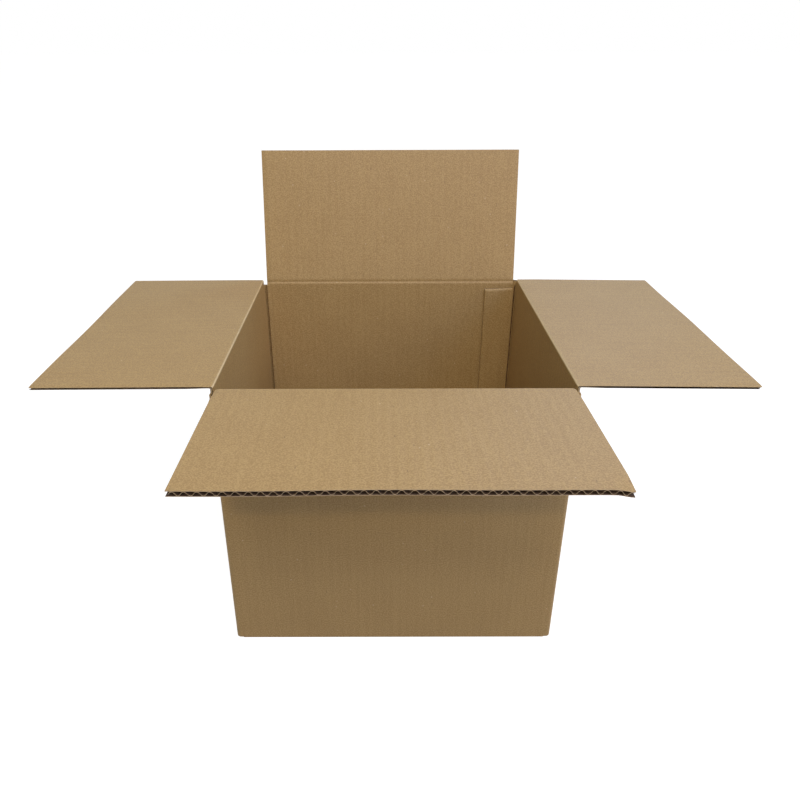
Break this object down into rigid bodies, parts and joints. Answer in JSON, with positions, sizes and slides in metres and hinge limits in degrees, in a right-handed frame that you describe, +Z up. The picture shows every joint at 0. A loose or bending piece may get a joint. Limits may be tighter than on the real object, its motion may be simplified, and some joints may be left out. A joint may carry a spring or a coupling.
{
  "type": "open cardboard box",
  "caption": "Square corrugated cardboard carton, open on top, with hinged top flaps and a taped bottom.",
  "frame": {"origin": "on the floor, under the middle of the box's square plan", "axes": "+X to the viewer's right, along the front wall; +Y from the front wall to the back wall; +Z up"},
  "size_m": [0.5653, 0.4568, 0.386],
  "materials": {
    "wall_board": "matte brown kraft liner",
    "flap_board": "matte brown kraft liner",
    "tape": "glossy brown film"
  },
  "bodies": {
    "box": {"box_body": "wall_board", "bottom_tape": "tape"},
    "front_flap": {"front_flap": "flap_board"},
    "back_flap": {"back_flap": "flap_board"},
    "left_flap": {"left_flap": "flap_board"},
    "right_flap": {"right_flap": "flap_board"}
  },
  "joints": [
    {"name": "front_crease", "type": "hinge", "parent": "box", "child": "front_flap", "pos_m": [0, -0.1442, 0.25], "axis": [-1, 0, 0], "range_deg": [-89.3, 178.7]},
    {"name": "back_crease", "type": "hinge", "parent": "box", "child": "back_flap", "pos_m": [0, 0.1442, 0.25], "axis": [1, 0, 0], "range_deg": [-165.5, 102.5]},
    {"name": "left_crease", "type": "hinge", "parent": "box", "child": "left_flap", "pos_m": [-0.1442, 0, 0.247], "axis": [0, 1, 0], "range_deg": [-87.7, 179.9]},
    {"name": "right_crease", "type": "hinge", "parent": "box", "child": "right_flap", "pos_m": [0.1442, 0, 0.247], "axis": [0, -1, 0], "range_deg": [-87.4, 179.9]}
  ]
}
